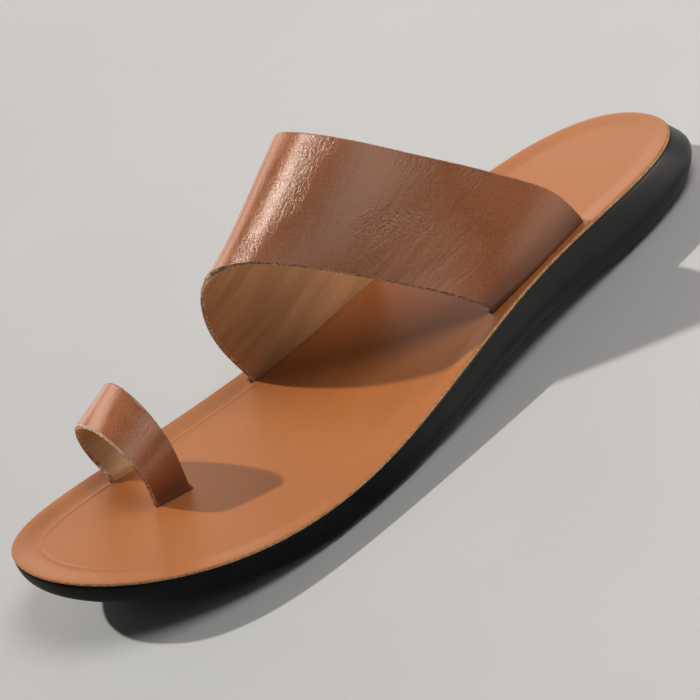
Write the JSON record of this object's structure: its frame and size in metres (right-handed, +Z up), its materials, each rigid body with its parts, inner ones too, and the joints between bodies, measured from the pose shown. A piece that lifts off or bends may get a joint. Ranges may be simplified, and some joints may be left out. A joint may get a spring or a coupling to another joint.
{
  "type": "left toe-ring slide sandal",
  "caption": "Open flat sandal for the left foot: dark rubber outsole, leather footbed, wide diagonal instep band and a leather ring for the big toe.",
  "frame": {"origin": "on the floor under the middle of the sandal's box, with the sole standing on its heel and ball", "axes": "+Y towards the heel, so the toe points to -Y; +X towards the little-toe side; +Z up"},
  "size_m": [0.102, 0.2856, 0.0951],
  "materials": {
    "outsole": "matte black rubber with a satin side wall",
    "footbed": "orange-tan smooth leather, pale raw cut edge",
    "instep_band": "semi-gloss brown leather with a tan lining and raw cut edges",
    "toe_ring": "semi-gloss brown leather with a tan lining and raw cut edges"
  },
  "bodies": {
    "root": {"outsole": "outsole", "footbed": "footbed", "instep_band": "instep_band", "toe_ring": "toe_ring"}
  },
  "joints": []
}
